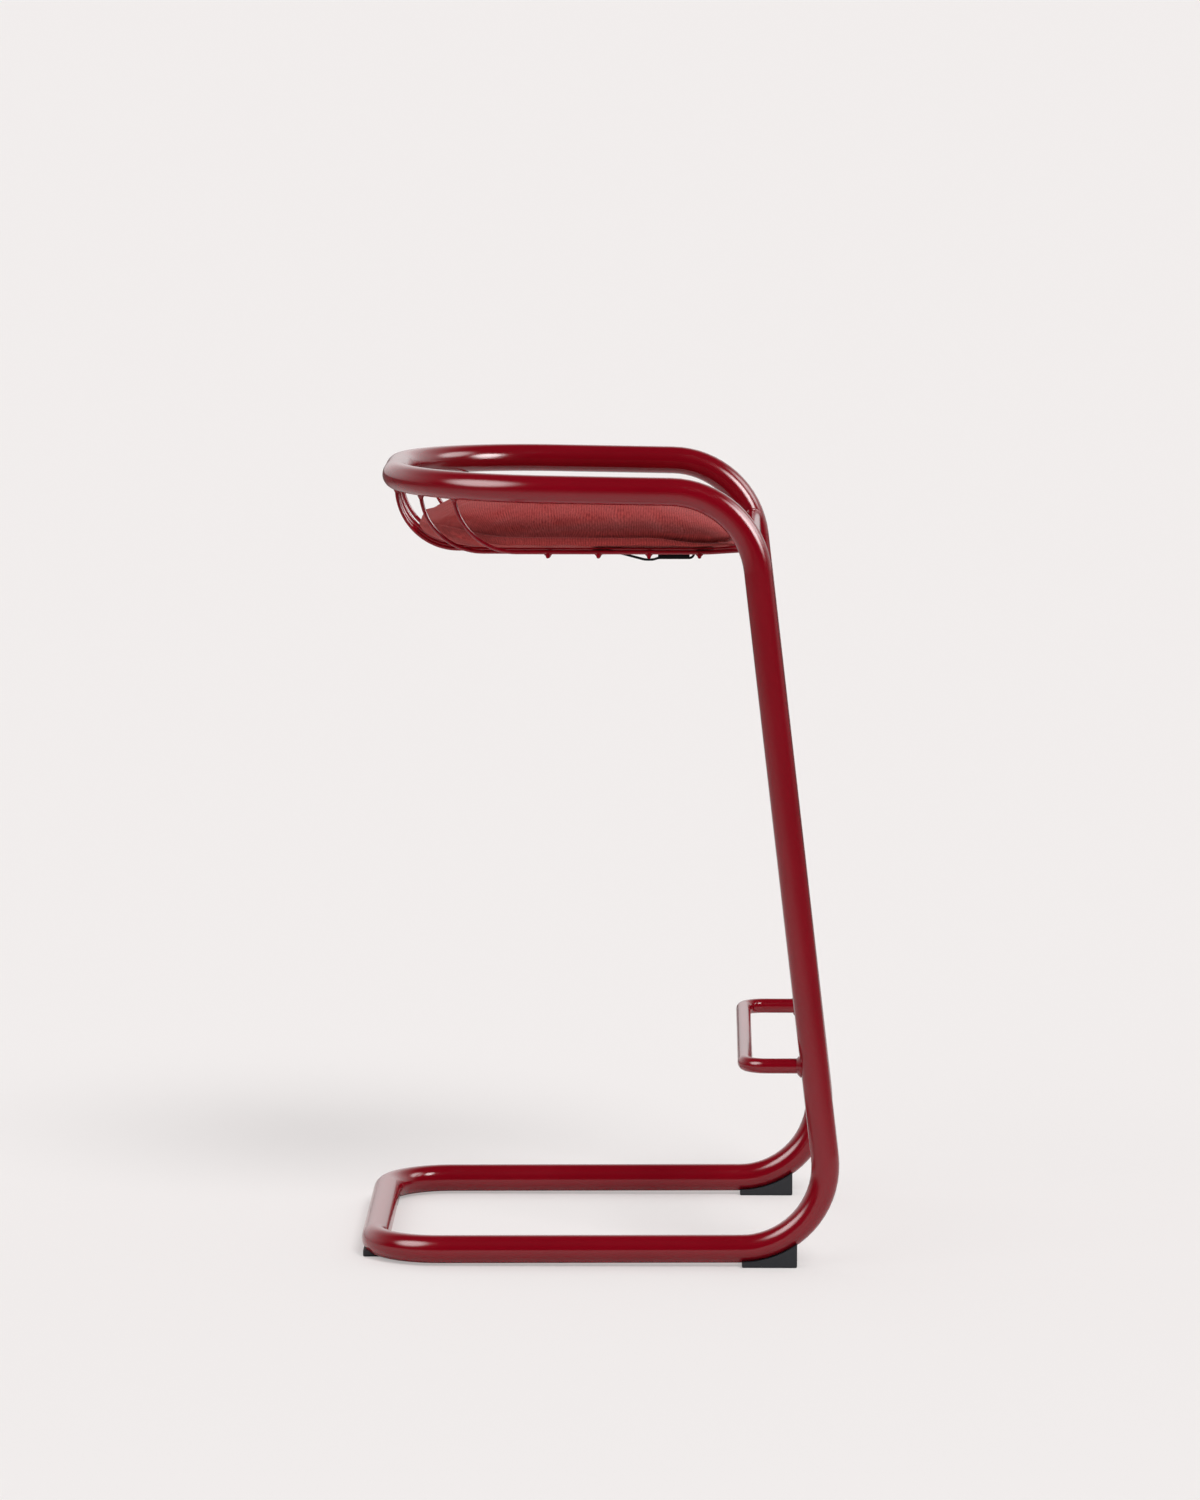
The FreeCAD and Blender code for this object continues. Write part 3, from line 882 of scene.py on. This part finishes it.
@dataclass
class Straps:
    """Black webbing straps, sewn to the pad at both ends, led under a cross wire and doubled beyond it."""

    width: float = 25 * MM
    thickness: float = 2.1 * MM
    tab: float = 18 * MM
    slope: float = 34 * MM
    turn_back: float = 22 * MM         # from the front end to where the strap turns up
    turn_run: float = 4 * MM
    dip: float = 8 * MM                # length of the strap's lowest run, under the wire
    lift: float = 1.7 * MM             # of the doubled run over that
    lift_run: float = 5 * MM
    fold: float = 1.8 * MM
    fold_steps: int = 4
    fold_profile: float = 0.5          # round
    dish_radius: float = 1816.6 * MM

    def build(self, webbing: Material) -> list[Object]:
        """Makes both straps.

        Args:
            webbing: Their finish.

        Returns:
            The strap pieces.
        """
        return [self.strap("pad_strap_" + side, webbing) for side in SIDES]

    def strap(self, node: str, webbing: Material) -> Object:
        """Makes one strap where its plain solid is.

        Args:
            node: Name of the plain solid.
            webbing: Finish of the strap.

        Returns:
            The strap.
        """
        low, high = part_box(node)
        place_y = (low.y + high.y) / 2
        tilt = math.asin(place_y / self.dish_radius)
        drop = self.width / 2 * abs(math.sin(tilt))
        upper = high.z - drop - self.thickness / 2
        lower = low.z + drop + self.thickness / 2
        turn_x = high.x - self.turn_back
        wire_x = low.x + self.tab + self.slope
        doubled = lower + self.lift
        doubled_x = wire_x + self.dip + self.lift_run
        mesh = bmesh.new()
        self.ribbon(mesh, [(low.x, upper), (low.x + self.tab, upper), (wire_x, lower),
                           (wire_x + self.dip, lower), (doubled_x, doubled), (turn_x, doubled),
                           (turn_x + self.turn_run, upper), (high.x, upper)])
        upper_ply = doubled + self.thickness
        self.ribbon(mesh, [(doubled_x, upper_ply), (turn_x - self.fold, upper_ply)])
        bmesh.ops.recalc_face_normals(mesh, faces=mesh.faces)
        bmesh.ops.solidify(mesh, geom=mesh.faces[:], thickness=self.thickness)
        bmesh.ops.translate(mesh, verts=mesh.verts, vec=Vector((0, 0, self.thickness / 2)))
        bmesh.ops.recalc_face_normals(mesh, faces=mesh.faces)
        bmesh.ops.rotate(mesh, verts=mesh.verts, cent=Vector((0, 0, (upper + lower) / 2)),
                         matrix=Matrix.Rotation(tilt, 3, "X"))
        bmesh.ops.translate(mesh, verts=mesh.verts, vec=Vector((0, place_y, 0)))
        piece = add_piece(node + "_webbing", mesh, webbing)
        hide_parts(node)
        return piece

    def ribbon(self, mesh: BMesh, route: list[tuple[float, float]]) -> None:
        """Adds a sheet of webbing along a route, with rounded folds.

        Args:
            mesh: Mesh that gets the sheet.
            route: Places along the seat with their heights.
        """
        ends = [mesh.verts.new((route[0][0], side * self.width / 2, route[0][1])) for side in (-1, 1)]
        edges = [mesh.edges.new(ends)]
        for here, there in zip(route, route[1:]):
            verts, last = extrude(mesh, edges[-1:])
            edges += last
            bmesh.ops.translate(mesh, verts=verts, vec=Vector((there[0] - here[0], 0, there[1] - here[1])))
        bmesh.ops.bevel(mesh, geom=edges[1:-1], offset=self.fold, segments=self.fold_steps,
                        profile=self.fold_profile, affect="EDGES", material=-1)


@dataclass(frozen=True)
class Sun:
    """Even light from one direction, which gives shade and no highlight."""

    name: str
    direction: tuple[float, float, float]   # from the stool to the lamp
    spread: float                           # angle that the lamp covers, in degrees
    strength: float


@dataclass(frozen=True)
class Softbox:
    """Panel that shows only as a highlight on the paint, and fades from its middle to its edges."""

    name: str
    place: tuple[float, float, float]
    target: Vector
    size: tuple[float, float]
    radiance: float                         # of the panel's middle, where white is 1
    spread: float = 180                     # angle that a grid on the panel leaves open, in degrees
    fade_from: float = 0.18                 # share of the panel's size, from its middle
    fade_to: float = 0.5


@dataclass
class Studio:
    """Pale floor, soft light and the camera."""

    floor_colour: str = "#F2EEED"
    floor_half: float = 150.0
    floor_glow: float = 0.4       # share of the floor's colour that no shadow takes away
    mirror_near: float = 0.8      # distance up to which the paint mirrors the whole floor
    mirror_far: float = 3.6
    mirror_loss: float = 0.85     # share that is lost in the mirrored floor beyond that
    room_light: float = 0.015
    wall_light: float = 1.2
    wall_side: tuple[float, float] = (-0.1, 0.6)   # headings along Y between which the pale wall starts
    wall_foot: tuple[float, float] = (0.2, 0.6)    # heading along Z that is fully lit, share of light at 0
    wall_end: tuple[float, float] = (0.4, 0.8)     # headings along Z between which the pale wall ends
    suns: tuple[Sun, ...] = (
        Sun("key_light", (0.32, -0.58, 0.749), 24, 1.5),
        Sun("top_light", (0.0, 0.05, 1.0), 110, 1.16),
        Sun("left_light", (-0.62, -0.62, 0.48), 50, 0.5))
    softboxes: tuple[Softbox, ...] = (
        Softbox("left_softbox", (-1.892, -1.503, 2.202), STOOL_MIDDLE, (3.0, 3.3), 9.0),
        Softbox("side_softbox", (2.35, 0.58, 2.15), STOOL_MIDDLE, (2.2, 2.1), 6.5),
        Softbox("seat_softbox", (0.685, -0.305, 1.085), SEAT_FRONT, (0.60, 0.72), 24.0, 90))
    sun_distance: float = 5.0
    camera_place: tuple[float, float, float] = (0.1051, -7.0684, 1.3619)
    camera_heading: tuple[float, float, float] = (-0.01499, 0.99243, -0.12190)
    lens: float = 168.14
    sensor: float = 36.0

    def build(self) -> None:
        """Sets up the floor, the light and the camera."""
        scene = bpy.context.scene
        scene.view_settings.view_transform = "Standard"
        self.floor()
        self.world(scene)
        for sun in self.suns:
            self.add_sun(sun)
        for box in self.softboxes:
            self.add_softbox(box)
        self.camera(scene)

    def floor(self) -> None:
        """Lays a plain floor that reaches past all that shows, and that the paint mirrors only near by."""
        mesh = bmesh.new()
        bmesh.ops.create_grid(mesh, x_segments=1, y_segments=1, size=self.floor_half)
        data = bpy.data.meshes.new("floor")
        mesh.to_mesh(data)
        mesh.free()
        material, tree, surface = new_material("matt_floor_paint")
        distance = add_node(tree, "ShaderNodeVectorMath", {
            0: add_node(tree, "ShaderNodeTexCoord").outputs["Object"]}, operation="LENGTH")
        unlit = add_node(tree, "ShaderNodeMapRange", {
            "Value": distance.outputs["Value"], "From Min": self.mirror_near, "From Max": self.mirror_far,
            "To Max": self.mirror_loss})
        ray = add_node(tree, "ShaderNodeLightPath")
        mirrored = add_node(tree, "ShaderNodeMath", {
            0: unlit.outputs[0], 1: ray.outputs["Is Glossy Ray"]}, operation="MULTIPLY")
        colour = add_node(tree, "ShaderNodeMix", {
            0: mirrored.outputs[0], 6: linear(self.floor_colour), 7: linear("#000000")}, data_type="RGBA")
        paint = add_node(tree, "ShaderNodeBsdfDiffuse", {"Color": colour.outputs[2]})
        glow = add_node(tree, "ShaderNodeEmission", {"Color": linear(self.floor_colour)})
        seen = add_node(tree, "ShaderNodeMath", {0: ray.outputs["Is Camera Ray"], 1: self.floor_glow},
                        operation="MULTIPLY")
        blend = add_node(tree, "ShaderNodeMixShader", {
            0: seen.outputs[0], 1: paint.outputs[0], 2: glow.outputs[0]})
        tree.links.new(blend.outputs[0], surface)
        data.materials.append(material)
        floor = bpy.data.objects.new("floor", data)
        bpy.context.scene.collection.objects.link(floor)

    def world(self, scene: Scene) -> None:
        """Makes a dim room that is pale behind the stool.

        Args:
            scene: Scene that gets the world.
        """
        world = bpy.data.worlds.new("studio")
        scene.world = world
        world.use_nodes = True
        tree = world.node_tree
        tree.nodes.clear()
        heading = add_node(tree, "ShaderNodeSeparateXYZ", {
            0: add_node(tree, "ShaderNodeTexCoord").outputs["Generated"]})
        behind = add_node(tree, "ShaderNodeMapRange", {
            "Value": heading.outputs["Y"], "From Min": self.wall_side[0], "From Max": self.wall_side[1]})
        rising = add_node(tree, "ShaderNodeMapRange", {
            "Value": heading.outputs["Z"], "From Max": self.wall_foot[0], "To Min": self.wall_foot[1]})
        ending = add_node(tree, "ShaderNodeMapRange", {
            "Value": heading.outputs["Z"], "From Min": self.wall_end[0], "From Max": self.wall_end[1],
            "To Min": 1.0, "To Max": 0.0})
        wall = add_node(tree, "ShaderNodeMath", {
            0: rising.outputs[0], 1: ending.outputs[0]}, operation="MULTIPLY")
        share = add_node(tree, "ShaderNodeMath", {
            0: behind.outputs[0], 1: wall.outputs[0]}, operation="MULTIPLY")
        light = add_node(tree, "ShaderNodeMapRange", {
            "Value": share.outputs[0], "To Min": self.room_light, "To Max": self.wall_light})
        seen = add_node(tree, "ShaderNodeMix", {
            0: add_node(tree, "ShaderNodeLightPath").outputs["Is Camera Ray"], 6: light.outputs[0],
            7: linear(self.floor_colour)}, data_type="RGBA")
        sky = add_node(tree, "ShaderNodeBackground", {"Color": seen.outputs[2]})
        add_node(tree, "ShaderNodeOutputWorld", {"Surface": sky.outputs[0]})

    def lamp(self, name: str, kind: str, place: Vector, target: Vector) -> Object:
        """Places a lamp, which only lights and is not seen itself.

        Args:
            name: Name of the lamp.
            kind: Blender's kind of lamp.
            place: Where it stands.
            target: Where it looks.

        Returns:
            The lamp's object.
        """
        lamp = bpy.data.objects.new(name, bpy.data.lights.new(name, kind))
        lamp.location = place
        lamp.rotation_euler = (target - place).to_track_quat("-Z", "Y").to_euler()
        lamp.visible_camera = False
        bpy.context.scene.collection.objects.link(lamp)
        return lamp

    def add_sun(self, sun: Sun) -> None:
        """Adds a sun.

        Args:
            sun: Its settings.
        """
        lamp = self.lamp(sun.name, "SUN", STOOL_MIDDLE + self.sun_distance * Vector(sun.direction),
                         STOOL_MIDDLE)
        lamp.data.angle = math.radians(sun.spread)
        lamp.data.energy = sun.strength
        lamp.visible_glossy = False

    def add_softbox(self, box: Softbox) -> None:
        """Adds a softbox.

        Args:
            box: Its settings.
        """
        lamp = self.lamp(box.name, "AREA", Vector(box.place), box.target)
        lamp.data.shape = "RECTANGLE"
        lamp.data.size, lamp.data.size_y = box.size
        lamp.data.energy = box.radiance * math.pi * box.size[0] * box.size[1]
        if box.spread < 180:
            half = math.radians(box.spread / 2)
            lamp.data.spread = 2 * half
            lamp.data.energy *= 1 - half / math.tan(half)   # a narrower spread would raise the radiance
        lamp.visible_diffuse = False
        lamp.data.use_nodes = True
        tree = lamp.data.node_tree
        tree.nodes.clear()
        from_middle = add_node(tree, "ShaderNodeVectorMath", {
            0: add_node(tree, "ShaderNodeNewGeometry").outputs["Parametric"], 1: PANEL_MIDDLE},
            operation="DISTANCE")
        fade = add_node(tree, "ShaderNodeMapRange", {
            "Value": from_middle.outputs["Value"], "From Min": box.fade_from, "From Max": box.fade_to,
            "To Min": 1.0, "To Max": 0.0}, interpolation_type="SMOOTHSTEP")
        shine = add_node(tree, "ShaderNodeEmission", {"Strength": fade.outputs[0]})
        add_node(tree, "ShaderNodeOutputLight", {"Surface": shine.outputs[0]})

    def camera(self, scene: Scene) -> None:
        """Adds the camera at the photograph's place.

        Args:
            scene: Scene that gets the camera.
        """
        camera = bpy.data.objects.new("camera", bpy.data.cameras.new("camera"))
        camera.data.lens = self.lens
        camera.data.sensor_width = self.sensor
        camera.data.clip_end = 2 * self.floor_half
        camera.location = self.camera_place
        camera.rotation_euler = Vector(self.camera_heading).to_track_quat("-Z", "Y").to_euler()
        scene.collection.objects.link(camera)
        scene.camera = camera


def main() -> None:
    """Builds the stool's looks and reports each piece."""
    logging.basicConfig(level=logging.INFO, format="%(message)s")
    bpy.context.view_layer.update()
    paint = PowderCoat().material()
    pieces = TubeFrame().build(paint, BareSteel().material())
    pieces += WireSeat().build(paint)
    pieces += Glides().build(MouldedPlastic().material())
    pieces += SeatPad().build(RibbedWeave().material())
    pieces += Straps().build(Webbing().material())
    for piece in pieces:
        LOG.info("%s: %d faces", piece.name, len(piece.data.polygons))
    Studio().build()


if __name__ == "__main__":
    main()
